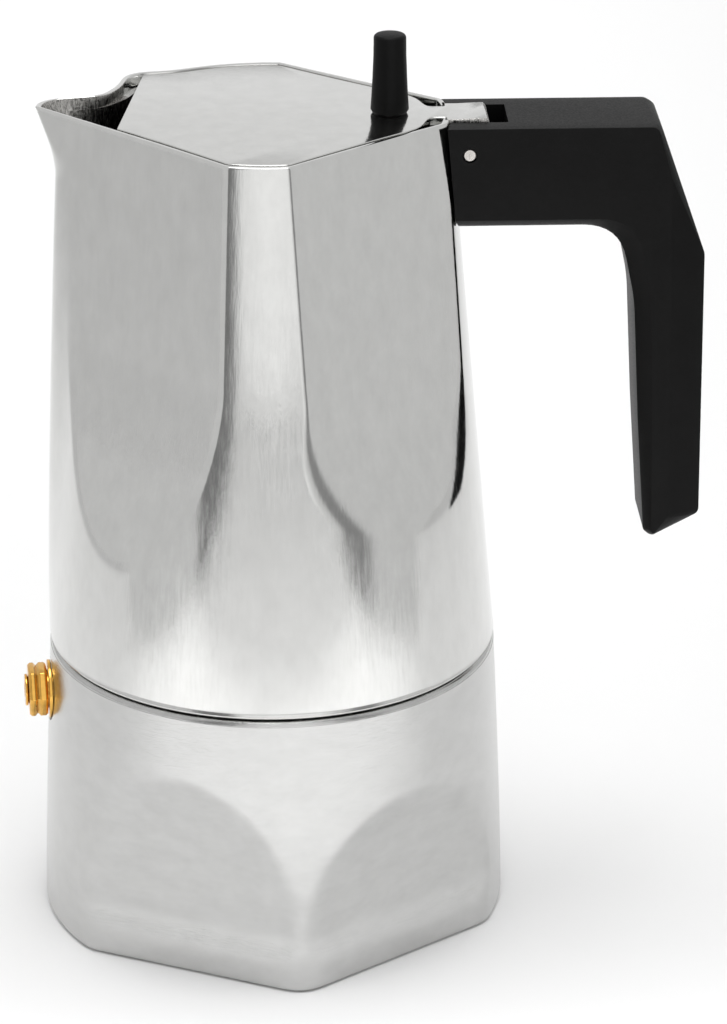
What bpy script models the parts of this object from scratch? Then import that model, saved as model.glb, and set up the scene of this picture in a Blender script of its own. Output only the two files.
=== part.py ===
"""Stovetop espresso pot of the six-cup size, built as separate pieces.

Sizes are written in millimetres and turned into metres as each mesh is made. The origin is
on the pot's axis at the underside of the base. +Z is up, the handle points along +X and the
spout along -X. Angles are measured round +Z from +X.
"""

import math

import bmesh
import bpy
from mathutils import Matrix, Vector

MM = 0.001
FIT = 0.3

# Heights
SEAM = 65.5
RIM = 186.65
NECK_TOP = 77.0
CEILING = 81.5
FLOOR = 87.5
COLUMN_TOP = 151.0

# Radii
SEAM_RADIUS = 50.0
WALL = 3.2
MOUTH_RADIUS = 40.5
NECK_RADIUS = 44.9
SKIRT_RADIUS = 45.3
THREAD_DEPTH = 0.8
THREAD_PITCH = 3.0
COLUMN_RADIUS = 6.5
COLUMN_BORE = 4.0

# Lid and its hinge
LID_TOP = RIM
LID_THICKNESS = 2.4
LIP = 1.4
LID_GAP = 0.5
LID_NECK = 3.9
TAIL_HALF = 5.9
TAIL_START = 38.2
PIVOT_X = 42.8
PIVOT_Z = 180.0
PIN_RADIUS = 1.5
KNOB_X = 26.1
KNOB_TOP = 204.2

# Handle
HANDLE_HALF = 11.0
HANDLE_TOP = 186.0
SLOT_HALF = 6.35
SLOT_END = 51.3
SLOT_FLOOR = 166.4
HANDLE_SCREW_X = 46.5

# Safety valve: radial, in the side of the boiler turned towards the spout
VALVE_ANGLE = math.radians(185.3)
VALVE_HEIGHT = 53.0

# Scoops of the boiler: direction, and how fast the floor curves out above its deepest level
BARREL_SWELL = 3.0
SCOOP_DEPTH = 45.4
SCOOP_VALLEY = 11.0
FOOT_CURVE = 0.0066
BOILER_SCOOPS = [(-115.2, 0.0043), (-53.3, 0.0063), (115.2, 0.0043), (53.3, 0.0063)]

# Scoops of the collector: direction, distance from the axis at the rim, slope of the floor,
# and the height, rate and power of its run-out at the bottom
COLLECTOR_SCOOPS = [
    (-136.8, 32.1, 0.089, 138.0, 0.0141, 1.65),
    (-50.3, 31.2, 0.114, 131.0, 0.0055, 2.2),
    (50.3, 31.2, 0.114, 131.0, 0.0055, 2.2),
]

# Ridge that rises to the spout: its direction, how far it stands out and its flared tip
SPOUT_ANGLE = 174.4
RIDGE_HEIGHT = 6.1
FLARE_START = 172.0
FLARE = 5.1

# Looks of the pieces: colour, roughness, metallic value
FINISHES = {
    "satin_aluminium": ((0.72, 0.72, 0.70), 0.32, 1.0),
    "polished_aluminium": ((0.80, 0.80, 0.79), 0.12, 1.0),
    "brass": ((0.80, 0.52, 0.18), 0.22, 1.0),
    "steel": ((0.62, 0.62, 0.62), 0.25, 1.0),
    "black_plastic": ((0.012, 0.012, 0.012), 0.45, 0.0),
    "rubber": ((0.62, 0.60, 0.56), 0.75, 0.0),
}
FINISH_OF = {
    "boiler": "satin_aluminium",
    "valve_washer": "brass",
    "valve_body": "brass",
    "valve_cap": "brass",
    "valve_plunger": "brass",
    "valve_spring": "steel",
    "funnel": "satin_aluminium",
    "funnel_sieve": "satin_aluminium",
    "gasket": "rubber",
    "filter_plate": "satin_aluminium",
    "collector": "polished_aluminium",
    "lid": "polished_aluminium",
    "lid_knob": "black_plastic",
    "knob_washer": "steel",
    "knob_screw": "steel",
    "handle": "black_plastic",
    "hinge_pin": "steel",
    "handle_washer": "steel",
    "handle_screw": "steel",
}


def turn_from(angle, centre):
    """Signed difference between two directions in degrees, from -180 to 180."""
    return (angle - centre + 180.0) % 360.0 - 180.0


def scooped(radius, angle, scoops):
    """Cuts a radius back to the floor of any scoop that reaches below it."""
    for centre, floor in scoops:
        off = math.radians(turn_from(angle, centre))
        if abs(off) < 1.2:
            radius = min(radius, floor / math.cos(off))
    return radius


def boiler_floor(z, curve):
    """Distance of a boiler scoop's floor from the axis: deepest at the valley."""
    rate = curve if z > SCOOP_VALLEY else FOOT_CURVE
    return SCOOP_DEPTH + rate * (z - SCOOP_VALLEY) ** 2


def boiler_radius(angle, z):
    """Outside of the boiler in a direction given in degrees."""
    barrel = SEAM_RADIUS + BARREL_SWELL * (1.0 - (max(z, 0.0) / SEAM) ** 1.3)
    return scooped(barrel, angle, [(centre, boiler_floor(z, curve)) for centre, curve in BOILER_SCOOPS])


def collector_floor(z, depth, slope, bend, rate, power):
    """Distance of a collector scoop's floor from the axis: straight, then curving out."""
    return depth + slope * (RIM - z) + rate * max(0.0, bend - z) ** power


def spout_ridge(z):
    """How far the ridge to the spout stands out from the cone."""
    rise = RIDGE_HEIGHT * (max(z - SEAM, 0.0) / (FLARE_START - SEAM)) ** 0.68
    flare = FLARE * (max(z - FLARE_START, 0.0) / (RIM - FLARE_START)) ** 1.65
    return rise + flare


def collector_radius(angle, z):
    """Outside of the collector: a cone, the ridge to the spout, then the scoops."""
    taper = 0.0955 - 0.0055 * math.cos(math.radians(2.0 * angle))
    radius = SEAM_RADIUS - taper * (z - SEAM)
    flare = min(1.0, max(0.0, (z - 165.0) / (RIM - 165.0)))
    off = turn_from(angle, SPOUT_ANGLE - 2.6 * flare)
    width = 11.0 - (1.0 * flare if off < 0.0 else 0.0)
    radius += spout_ridge(z) * math.exp(-abs(off / width) ** (2.0 + flare))
    shoulder = turn_from(angle, 135.0)
    radius += 3.9 * flare ** 2 * math.exp(-(shoulder / 9.0) ** 2)
    floors = [(scoop[0], collector_floor(z, *scoop[1:])) for scoop in COLLECTOR_SCOOPS]
    return scooped(radius, angle, floors)


def column_angles(count, extra):
    """Evenly spread directions plus the ones where edges run."""
    spread = [360.0 * i / count - 180.0 for i in range(count)]
    step = 180.0 / count
    kept = [a for a in spread if all(abs(turn_from(a, e)) > step for e in extra)]
    return sorted(kept + [turn_from(e, 0.0) for e in extra])


def make_object(name, verts, faces):
    """Makes a mesh object from millimetre coordinates."""
    mesh = bpy.data.meshes.new(name)
    mesh.from_pydata([tuple(c * MM for c in v) for v in verts], [], faces)
    mesh.update()
    obj = bpy.data.objects.new(name, mesh)
    bpy.context.scene.collection.objects.link(obj)
    return obj


def skin(name, angles, rows, low_pole=None, high_pole=None):
    """Skins rings of points, one ring to a row, and closes the ends.

    A row is a function from a direction in degrees to (radius, z). Without poles the last
    row joins the first, which makes a ring-shaped body.
    """
    verts = []
    for row in rows:
        for angle in angles:
            radius, z = row(angle)
            a = math.radians(angle)
            verts.append((radius * math.cos(a), radius * math.sin(a), z))
    n = len(angles)
    faces = []
    loops = len(rows) - 1 if low_pole is not None else len(rows)
    for i in range(loops):
        lo = i * n
        hi = ((i + 1) % len(rows)) * n
        for j in range(n):
            k = (j + 1) % n
            faces.append((lo + j, lo + k, hi + k, hi + j))
    if low_pole is not None:
        low = len(verts)
        verts.append((0.0, 0.0, low_pole))
        high = len(verts)
        verts.append((0.0, 0.0, high_pole))
        top = (len(rows) - 1) * n
        for j in range(n):
            k = (j + 1) % n
            faces.append((low, k, j))
            faces.append((high, top + j, top + k))
    return make_object(name, verts, faces)


def at(radius, z):
    """A row with one radius all the way round."""
    return lambda angle: (radius, z)


def along(surface, z, inset=0.0, lift=0.0):
    """A row that follows a surface at a height, set in by some distance."""
    return lambda angle: (surface(angle, z) - inset, z + lift)


def thread_rows(radius, depth, z_low, z_high, phase=0.0):
    """Rows of a helical thread: a ridge that climbs one pitch in one turn."""
    count = round((z_high - z_low) / (THREAD_PITCH / 4.0))
    rows = []
    for i in range(count + 1):
        z = z_low + (z_high - z_low) * i / count
        ends = min(1.0, i / 2.0, (count - i) / 2.0)

        def row(angle, z=z, ends=ends):
            turn = (z / THREAD_PITCH - angle / 360.0 + phase) % 1.0
            ridge = 1.0 - abs(2.0 * turn - 1.0)
            return radius + depth * ends * (ridge if depth > 0 else 1.0 - ridge), z

        rows.append(row)
    return rows


def box(name, low, high):
    """Axis-aligned box."""
    x0, y0, z0 = low
    x1, y1, z1 = high
    verts = [(x, y, z) for z in (z0, z1) for y in (y0, y1) for x in (x0, x1)]
    faces = [(0, 2, 3, 1), (4, 5, 7, 6), (0, 1, 5, 4), (2, 6, 7, 3), (0, 4, 6, 2), (1, 3, 7, 5)]
    return make_object(name, verts, faces)


def turned(name, profile, sides, place=None):
    """Turns a closed profile of (radius, z) round its axis and places it.

    Radius 0 at both ends makes a solid; otherwise the profile closes on itself into a ring.
    """
    angles = [360.0 * i / sides for i in range(sides)]
    if profile[0][0] == 0.0:
        rows = [at(r, z) for r, z in profile[1:-1]]
        obj = skin(name, angles, rows, profile[0][1], profile[-1][1])
    else:
        obj = skin(name, angles, [at(r, z) for r, z in profile])
    if place is not None:
        obj.data.transform(place)
    return obj


def extrude(name, outline, half, closed_by="y"):
    """Extrudes an outline. By y: (x, z) pairs to both sides. By z: (x, y) pairs up and down."""
    n = len(outline)
    if closed_by == "y":
        verts = [(x, -half, z) for x, z in outline] + [(x, half, z) for x, z in outline]
    else:
        low, high = half
        verts = [(x, y, low) for x, y in outline] + [(x, y, high) for x, y in outline]
    sides = [(i, (i + 1) % n, n + (i + 1) % n, n + i) for i in range(n)]
    faces = [tuple(reversed(range(n))), tuple(range(n, 2 * n))] + sides
    obj = make_object(name, verts, faces)
    face_out(obj)
    return obj


def face_out(obj):
    """Turns every face outwards."""
    work = bmesh.new()
    work.from_mesh(obj.data)
    bmesh.ops.recalc_face_normals(work, faces=work.faces)
    work.to_mesh(obj.data)
    work.free()


def boolean(obj, tool, operation):
    """Applies one exact Boolean to an object and removes the tool."""
    step = obj.modifiers.new("Cut", "BOOLEAN")
    step.operation = operation
    step.solver = "EXACT"
    step.object = tool
    settle(obj)
    mesh = tool.data
    bpy.data.objects.remove(tool)
    bpy.data.meshes.remove(mesh)


def settle(obj):
    """Replaces an object's mesh by what its modifiers make of it."""
    graph = bpy.context.evaluated_depsgraph_get()
    result = bpy.data.meshes.new_from_object(obj.evaluated_get(graph))
    old = obj.data
    obj.modifiers.clear()
    obj.data = result
    name = old.name
    bpy.data.meshes.remove(old)
    result.name = name
    work = bmesh.new()
    work.from_mesh(result)
    bmesh.ops.remove_doubles(work, verts=work.verts, dist=1e-6)
    bmesh.ops.dissolve_degenerate(work, dist=1e-6, edges=work.edges)
    work.to_mesh(result)
    work.free()


def cut(obj, *tools):
    """Takes every tool out of an object."""
    for tool in tools:
        boolean(obj, tool, "DIFFERENCE")


def round_edges(obj, width, segments, angle=40.0):
    """Rounds the sharp edges of an object."""
    step = obj.modifiers.new("Round", "BEVEL")
    step.width = width * MM
    step.segments = segments
    step.limit_method = "ANGLE"
    step.angle_limit = math.radians(angle)
    settle(obj)


def rod(name, radius, start, end, sides=16):
    """A cylinder cutter between two points."""
    a = Vector(start)
    b = Vector(end)
    length = (b - a).length
    place = Matrix.Translation(a * MM) @ (b - a).to_track_quat("Z", "Y").to_matrix().to_4x4()
    return turned(name, [(0.0, 0.0), (radius, 0.0), (radius, length), (0.0, length)], sides, place)


def valve_place():
    """Frame of the safety valve: its z runs outwards along the valve."""
    outward = Vector((math.cos(VALVE_ANGLE), math.sin(VALVE_ANGLE), 0.0))
    turn = outward.to_track_quat("Z", "Y").to_matrix().to_4x4()
    return Matrix.Translation(Vector((0.0, 0.0, VALVE_HEIGHT * MM))) @ turn


def build_boiler():
    """Water vessel with its scooped foot, threaded neck and hole for the valve."""
    angles = column_angles(48, [-144.2, -86.4, -82.8, -23.5, 144.2, 86.4, 82.8, 23.5])
    rows = [at(30.0, 0.0)]
    rows.append(along(boiler_radius, 0.0, 1.6))
    rows.append(along(boiler_radius, 0.5, 0.5))
    heights = [1.6, 6.0, 11.0, 16.0, 22.0, 28.0, 33.0, 37.0, 40.0, 43.0, 47.0, 52.0, 58.0, 64.0]
    rows += [along(boiler_radius, z) for z in heights]
    rows.append(at(SEAM_RADIUS - 1.0, SEAM - 0.3))
    rows.append(at(NECK_RADIUS - THREAD_DEPTH, SEAM - 0.3))
    rows += thread_rows(NECK_RADIUS - THREAD_DEPTH, THREAD_DEPTH, 67.0, 76.0)
    rows.append(at(NECK_RADIUS - THREAD_DEPTH, NECK_TOP))
    rows.append(at(MOUTH_RADIUS, NECK_TOP))
    rows.append(at(MOUTH_RADIUS, 63.0))
    rows.append(at(45.5, 57.5))
    rows += [along(boiler_radius, z, WALL) for z in (52.0, 45.0, 38.0, 30.0, 20.0, 11.0, 7.5)]
    rows.append(along(boiler_radius, 6.0, WALL + 2.0, -1.0))
    boiler = skin("boiler", angles, rows, 0.0, 5.0)
    place = valve_place()
    hole = turned("hole", [(0.0, 40.0), (4.3, 40.0), (4.3, 60.0), (0.0, 60.0)], 20, place)
    face = turned("face", [(0.0, 50.1), (7.2, 50.1), (7.2, 60.0), (0.0, 60.0)], 32, place)
    cut(boiler, hole, face)
    return boiler


def build_valve():
    """Safety valve: washer, hexagonal body, end cap, plunger and its spring."""
    place = valve_place()
    turned("valve_washer", [(4.5, 50.3), (6.6, 50.3), (6.6, 51.1), (4.5, 51.1)], 24, place)
    hexagon = [(0.0, 51.3), (5.7, 51.3), (6.1, 51.7), (6.1, 53.2), (5.5, 53.8), (6.1, 54.4),
               (6.1, 55.0), (5.6, 55.5), (0.0, 55.5)]
    body = turned("valve_body", hexagon, 6, place)
    shank = [(0.0, 44.0), (3.6, 44.0), (4.0, 44.4), (4.0, 51.6), (0.0, 51.6)]
    boolean(body, turned("shank", shank, 20, place), "UNION")
    bore = [(0.0, 43.0), (1.6, 43.0), (1.6, 45.2), (2.6, 46.0), (2.6, 54.0), (3.2, 54.0), (3.2, 58.0), (0.0, 58.0)]
    cut(body, turned("bore", bore, 16, place))
    cap = [(1.5, 54.3), (2.9, 54.3), (2.9, 55.7), (3.6, 55.7), (3.6, 56.0), (3.3, 56.3), (1.5, 56.3)]
    turned("valve_cap", cap, 20, place)
    plunger = [(0.0, 45.5), (1.3, 45.5), (2.2, 46.4), (2.2, 47.2), (1.2, 47.4), (1.2, 56.0), (0.9, 56.2), (0.0, 56.2)]
    turned("valve_plunger", plunger, 14, place)
    build_spring("valve_spring", place, 1.85, 0.28, 47.8, 53.6, 5.0)


def build_spring(name, place, radius, wire, low, high, turns):
    """A coil of round wire with closed ends."""
    steps = int(turns * 10)
    sides = 5
    verts = []
    for i in range(steps + 1):
        t = i / steps
        a = 2.0 * math.pi * turns * t
        centre = Vector((radius * math.cos(a), radius * math.sin(a), low + (high - low) * t))
        out = Vector((math.cos(a), math.sin(a), 0.0))
        for j in range(sides):
            b = 2.0 * math.pi * j / sides
            verts.append(tuple(centre + out * wire * math.cos(b) + Vector((0.0, 0.0, wire * math.sin(b)))))
    faces = []
    for i in range(steps):
        for j in range(sides):
            k = (j + 1) % sides
            faces.append((i * sides + j, (i + 1) * sides + j, (i + 1) * sides + k, i * sides + k))
    last = steps * sides
    faces.append(tuple(range(sides)))
    faces.append(tuple(reversed(range(last, last + sides))))
    spring = make_object(name, verts, faces)
    spring.data.transform(place)
    face_out(spring)


def ring_of_holes(counts, spacing):
    """Centres of a drilled pattern: one hole in the middle, then rings."""
    centres = [(0.0, 0.0)]
    for ring, count in enumerate(counts, 1):
        for i in range(count):
            a = 2.0 * math.pi * (i + 0.5 * (ring % 2)) / count
            centres.append((ring * spacing * math.cos(a), ring * spacing * math.sin(a)))
    return centres


def drilled_disc(name, radius, low, high, counts, spacing, hole):
    """A thin round plate with a pattern of through holes."""
    plate = turned(name, [(0.0, low), (radius, low), (radius, high), (0.0, high)], 40)
    verts = []
    faces = []
    sides = 6
    for x, y in ring_of_holes(counts, spacing):
        first = len(verts)
        for z in (low - 1.0, high + 1.0):
            for i in range(sides):
                a = 2.0 * math.pi * i / sides
                verts.append((x + hole * math.cos(a), y + hole * math.sin(a), z))
        faces.append(tuple(reversed(range(first, first + sides))))
        faces.append(tuple(range(first + sides, first + 2 * sides)))
        for i in range(sides):
            k = (i + 1) % sides
            faces.append((first + i, first + k, first + sides + k, first + sides + i))
    cut(plate, make_object("holes", verts, faces))
    return plate


def build_coffee_parts():
    """Funnel with its sieve, the gasket and the filter plate."""
    funnel = [(4.2, 9.0), (4.8, 9.0), (4.8, 52.0), (12.0, 55.4), (34.2, 57.0), (34.2, 77.3),
              (43.4, 77.3), (43.4, 78.1), (33.4, 78.1), (33.4, 58.0), (11.6, 56.3), (4.2, 52.8)]
    turned("funnel", funnel, 36)
    drilled_disc("funnel_sieve", 32.8, 58.3, 58.9, [6, 12, 18], 7.4, 1.0)
    turned("gasket", [(34.5, 78.4), (44.9, 78.4), (44.9, 80.4), (34.5, 80.4)], 40)
    drilled_disc("filter_plate", 41.0, 80.6, 81.2, [6, 12, 18], 7.6, 0.9)


def lid_edge(angle):
    """Edge of the lid in a direction, inside the lip of the rim."""
    return collector_radius(angle, RIM) - LIP - LID_GAP


def collector_rows():
    """Rows of the collector from the top of its bore, down and round to the column's tip."""
    rows = [at(COLUMN_BORE, 146.0), at(COLUMN_BORE, 95.0), at(7.0, 87.0), at(14.0, 84.2)]
    rows += [at(36.5, 83.2), at(37.5, CEILING), at(SKIRT_RADIUS, CEILING)]
    inside = thread_rows(SKIRT_RADIUS, THREAD_DEPTH, 67.0, 76.0, 0.5)
    rows += reversed(inside)
    rows += [at(SKIRT_RADIUS, SEAM + 0.2), at(SEAM_RADIUS - 0.9, SEAM + 0.2)]
    heights = [66.4, 74.0, 83.0, 90.0, 94.0, 99.0, 105.0, 109.0, 113.0, 118.0, 124.0, 132.0, 142.0,
               156.0, 168.0, 175.0, 180.0, 184.0, 186.2]
    rows += [along(collector_radius, z) for z in heights]
    rows.append(along(collector_radius, RIM, 0.45))
    rows.append(along(collector_radius, RIM, LIP))
    shelf = RIM - LID_THICKNESS - FIT
    rows.append(lambda angle: (collector_radius(angle, RIM) - LIP, shelf))
    rows.append(along(collector_radius, shelf, WALL))
    rows += [along(collector_radius, z, WALL) for z in (178.0, 168.0, 154.0, 140.0, 126.0, 115.0, 106.0, 98.0, 92.0)]
    rows.append(along(collector_radius, 89.0, WALL + 1.2))
    rows += [at(42.0, FLOOR), at(14.0, FLOOR + 0.7), at(7.6, 92.0), at(COLUMN_RADIUS, 97.0)]
    rows += [at(COLUMN_RADIUS, 147.5), at(4.6, 150.2)]
    return rows


def build_collector():
    """Upper vessel with its spout, threaded skirt, central column and lug for the handle."""
    extra = [-172.0, -107.0, -83.5, -13.6, 13.6, 83.5, 120.0, 135.0, 148.0, 156.0, 160.5, 165.0,
             169.5, SPOUT_ANGLE, 178.5]
    angles = column_angles(48, extra)
    collector = skin("collector", angles, collector_rows(), 146.0, COLUMN_TOP)
    lug = box("lug", (38.0, -6.0, SLOT_FLOOR + FIT), (50.8, 6.0, 171.6))
    boolean(collector, lug, "UNION")
    neck_way = LID_NECK + 0.4
    tail_way = TAIL_HALF + 0.4
    slot = box("slot", (-10.0, -1.7, 137.0), (10.0, 1.7, 144.5))
    notch = box("notch", (30.0, -neck_way, RIM - LID_THICKNESS - FIT), (45.0, neck_way, RIM + 5.0))
    pocket = box("pocket", (TAIL_START - 0.5, -tail_way, 173.0), (45.0, tail_way, RIM + 5.0))
    screw_way = rod("screw_way", 1.75, (HANDLE_SCREW_X, 0.0, 160.0), (HANDLE_SCREW_X, 0.0, 173.0), 12)
    cut(collector, slot, notch, pocket, screw_way)
    return collector


def lid_outline():
    """Plan of the lid: the rim's shape, a slanted end at the spout, the neck and the tail."""
    shoulder = [(30.2, 12.4), (32.4, 9.6), (33.4, 6.6), (34.2, 4.4), (35.0, LID_NECK),
                (TAIL_START, LID_NECK), (TAIL_START, TAIL_HALF), (40.5, TAIL_HALF)]
    right = [(x, -y) for x, y in shoulder]
    outline = list(reversed(shoulder))
    for angle in (33.0, 42.0, 52.0, 62.0, 72.0, 82.0, 90.0, 98.0, 108.0, 118.0, 126.0, 133.0):
        r = lid_edge(angle)
        outline.append((r * math.cos(math.radians(angle)), r * math.sin(math.radians(angle))))
    outline.append((-36.0, -5.2))
    for angle in (-164.0, -155.0, -145.0, -135.0, -125.0, -115.0, -107.0, -100.0, -92.0, -83.5,
                  -75.0, -65.0, -55.0, -45.0, -35.0):
        r = lid_edge(angle)
        outline.append((r * math.cos(math.radians(angle)), r * math.sin(math.radians(angle))))
    return outline + right


def build_lid():
    """Lid with the knuckle that turns on the hinge pin, its knob and the knob's screw."""
    lid = extrude("lid", lid_outline(), (LID_TOP - LID_THICKNESS, LID_TOP), "z")
    knuckle = [(39.3, LID_TOP), (47.2, 187.0), (47.3, 184.0), (46.6, 178.6), (44.6, 176.6),
               (41.4, 176.8), (39.6, 178.6), (39.5, 183.0)]
    boolean(lid, extrude("knuckle", knuckle, TAIL_HALF), "UNION")
    pin_way = rod("pin_way", PIN_RADIUS + 0.2, (PIVOT_X, -10.0, PIVOT_Z), (PIVOT_X, 10.0, PIVOT_Z), 16)
    screw_way = rod("screw_way", 1.8, (KNOB_X, 0.0, 180.0), (KNOB_X, 0.0, 190.0), 12)
    cut(lid, pin_way, screw_way)
    on_lid = Matrix.Translation(Vector((KNOB_X * MM, 0.0, 0.0)))
    base = LID_TOP + 0.25
    knob = [(1.8, base), (4.0, base), (4.15, base + 0.4), (3.5, KNOB_TOP - 1.2), (2.7, KNOB_TOP - 0.2),
            (0.0, KNOB_TOP), (0.0, 198.2), (1.8, 198.2)]
    turned_knob("lid_knob", knob, on_lid)
    low = LID_TOP - LID_THICKNESS
    turned("knob_washer", washer(1.8, 3.6, low - 0.9, low - 0.3), 20, on_lid)
    turned("knob_screw", screw(low - 1.2, 197.6), 16, on_lid)


def washer(inner, outer, low, high):
    """Profile of a flat washer."""
    return [(inner, low), (outer, low), (outer, high), (inner, high)]


def screw(under_head, tip):
    """Profile of a pan-head screw that points up, with its head below."""
    return [(0.0, under_head - 1.7), (2.4, under_head - 1.7), (3.0, under_head - 1.1), (3.0, under_head),
            (1.5, under_head), (1.5, tip - 0.5), (1.0, tip), (0.0, tip)]


def turned_knob(name, profile, place):
    """The knob: a turned solid with a blind hole from below."""
    outside = profile[1:6]
    solid = [(0.0, profile[0][1])] + outside
    knob = turned(name, solid, 24, place)
    depth = profile[6][1]
    hole = [(0.0, 180.0), (profile[0][0], 180.0), (profile[0][0], depth), (0.0, depth)]
    cut(knob, turned("hole", hole, 16, place))
    return knob


def build_handle():
    """Handle with the slot for the lid's knuckle, and what holds it on."""
    outline = [(30.0, HANDLE_TOP), (81.6, HANDLE_TOP), (84.0, 184.6), (94.0, 157.8), (94.5, 152.0),
               (94.9, 98.0), (93.6, 95.8), (85.8, 90.2), (82.6, 91.4), (81.6, 103.7), (80.7, 118.0),
               (79.7, 140.0), (78.3, 148.5), (76.3, 157.0), (74.6, 161.0), (71.5, 163.0),
               (69.0, 163.3), (30.0, 163.3)]
    handle = extrude("handle", list(reversed(outline)), HANDLE_HALF)
    round_edges(handle, 1.0, 2)
    body = [(0.0, 150.0)]
    body += [(SEAM_RADIUS - 0.09 * (z - SEAM) + 0.35, z) for z in (150.0, 200.0)]
    body += [(0.0, 200.0)]
    slot = box("slot", (20.0, -SLOT_HALF, SLOT_FLOOR), (SLOT_END, SLOT_HALF, 200.0))
    pin_way = rod("pin_way", PIN_RADIUS + 0.1, (PIVOT_X, -20.0, PIVOT_Z), (PIVOT_X, 20.0, PIVOT_Z), 16)
    screw_way = rod("screw_way", 1.75, (HANDLE_SCREW_X, 0.0, 155.0), (HANDLE_SCREW_X, 0.0, 170.0), 12)
    seat = rod("seat", 3.5, (HANDLE_SCREW_X, 0.0, 155.0), (HANDLE_SCREW_X, 0.0, 164.7), 16)
    cut(handle, turned("body", body, 72), slot, pin_way, screw_way, seat)
    rod("hinge_pin", PIN_RADIUS, (PIVOT_X, -HANDLE_HALF + 0.25, PIVOT_Z), (PIVOT_X, HANDLE_HALF - 0.25, PIVOT_Z), 20)
    below = Matrix.Translation(Vector((HANDLE_SCREW_X * MM, 0.0, 0.0)))
    turned("handle_washer", washer(1.8, 3.2, 164.0, 164.4), 20, below)
    turned("handle_screw", screw(163.7, 170.9), 16, below)


def set_origin(name, point):
    """Moves an object's origin to a point without moving its mesh."""
    obj = bpy.data.objects[name]
    target = Vector(point) * MM
    obj.data.transform(Matrix.Translation(-target))
    obj.location = target


def place_origins():
    """Puts the origins of moving pieces on their joints' axes."""
    outward = Vector((math.cos(VALVE_ANGLE), math.sin(VALVE_ANGLE), 0.0))
    seat = outward * 46.0 + Vector((0.0, 0.0, VALVE_HEIGHT))
    set_origin("valve_plunger", seat)
    for name in ("lid", "lid_knob", "knob_washer", "knob_screw"):
        set_origin(name, (PIVOT_X, 0.0, PIVOT_Z))
    for name in ("collector", "handle", "hinge_pin", "handle_washer", "handle_screw"):
        set_origin(name, (0.0, 0.0, SEAM))


def paint():
    """Gives each piece its own material."""
    for name, finish in FINISH_OF.items():
        colour, roughness, metallic = FINISHES[finish]
        material = bpy.data.materials.new(name)
        material.use_nodes = True
        shader = material.node_tree.nodes["Principled BSDF"]
        shader.inputs["Base Color"].default_value = (*colour, 1.0)
        shader.inputs["Roughness"].default_value = roughness
        shader.inputs["Metallic"].default_value = metallic
        mesh = bpy.data.objects[name].data
        mesh.materials.clear()
        mesh.materials.append(material)
        mesh.shade_smooth()
        mesh.set_sharp_from_angle(angle=math.radians(30.0))


def main():
    for obj in list(bpy.data.objects):
        bpy.data.objects.remove(obj)
    build_boiler()
    build_valve()
    build_coffee_parts()
    build_collector()
    build_lid()
    build_handle()
    place_origins()
    paint()


main()
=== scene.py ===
"""Looks of the stovetop espresso pot: fine surfaces, materials, light and camera.

Sizes are in millimetres and angles in degrees round +Z from +X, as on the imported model.
"""

import math

import bmesh
import bpy
import numpy as np
from mathutils import Matrix, Vector


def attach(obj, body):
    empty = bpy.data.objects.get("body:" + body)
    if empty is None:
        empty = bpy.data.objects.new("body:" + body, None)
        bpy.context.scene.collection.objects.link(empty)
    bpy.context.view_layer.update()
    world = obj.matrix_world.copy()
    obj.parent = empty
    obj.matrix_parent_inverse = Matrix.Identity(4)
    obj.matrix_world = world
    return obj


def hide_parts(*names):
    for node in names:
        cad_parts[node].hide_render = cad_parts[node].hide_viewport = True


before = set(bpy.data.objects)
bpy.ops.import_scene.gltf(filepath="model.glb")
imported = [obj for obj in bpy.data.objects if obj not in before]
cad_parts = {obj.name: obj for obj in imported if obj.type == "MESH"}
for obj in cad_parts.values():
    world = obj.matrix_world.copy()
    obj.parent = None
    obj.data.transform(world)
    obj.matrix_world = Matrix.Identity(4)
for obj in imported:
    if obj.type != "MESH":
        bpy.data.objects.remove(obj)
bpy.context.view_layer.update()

MM = 0.001

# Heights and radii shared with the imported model
SEAM = 65.5
RIM = 186.65
NECK_TOP = 77.0
CEILING = 81.5
FLOOR = 87.5
COLUMN_TOP = 151.0
SEAM_RADIUS = 50.0
WALL = 3.2
MOUTH_RADIUS = 40.5
NECK_RADIUS = 44.9
SKIRT_RADIUS = 45.3
THREAD_DEPTH = 0.8
THREAD_PITCH = 3.0
COLUMN_RADIUS = 6.5
COLUMN_BORE = 4.0

# Lid and its hinge
LID_THICKNESS = 2.4
SHELF = RIM - LID_THICKNESS - 0.3
LIP = 1.4
LID_GAP = 0.9
LID_TOP = RIM - 0.1
LID_NECK = 3.9
TAIL_HALF = 5.9
TAIL_START = 38.2
PIVOT_X = 42.8
PIVOT_Z = 180.0
KNOB_X = 26.1
KNOB_TOP = 204.2

# Handle
HANDLE_HALF = 11.0
SLOT_HALF = 6.35
SLOT_END = 51.3
SLOT_FLOOR = 166.4
HANDLE_SCREW_X = 46.5

# Safety valve
VALVE_ANGLE = math.radians(185.3)
VALVE_HEIGHT = 53.0

# Boiler: how far its barrel swells at the foot, depth of the scoops and height of their deepest
# level, how far they run out at the foot, how rounded the ribs between them are there, and each
# scoop's direction and how fast its floor curves out
BARREL_SWELL = 2.62
SCOOP_DEPTH = 45.1
SCOOP_VALLEY = 13.0
FOOT_STEP = 1.2
RIB_SOFTNESS = 0.8
BOILER_SCOOPS = [(-115.2, 0.0043), (-53.3, 0.0063), (115.2, 0.0043), (53.3, 0.0063)]

# Scoops of the collector: direction, distance from the axis at the rim, slope of the floor,
# height, rate and power of its run-out at the bottom, and how soft its lower edge is
COLLECTOR_SCOOPS = [
    (-136.8, 32.1, 0.089, 138.0, 0.0141, 1.65, 0.5),
    (-50.3, 31.2, 0.114, 131.0, 0.0055, 2.2, 3.5),
    (50.3, 31.2, 0.114, 131.0, 0.0055, 2.2, 3.5),
]
EDGE = 0.5

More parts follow.
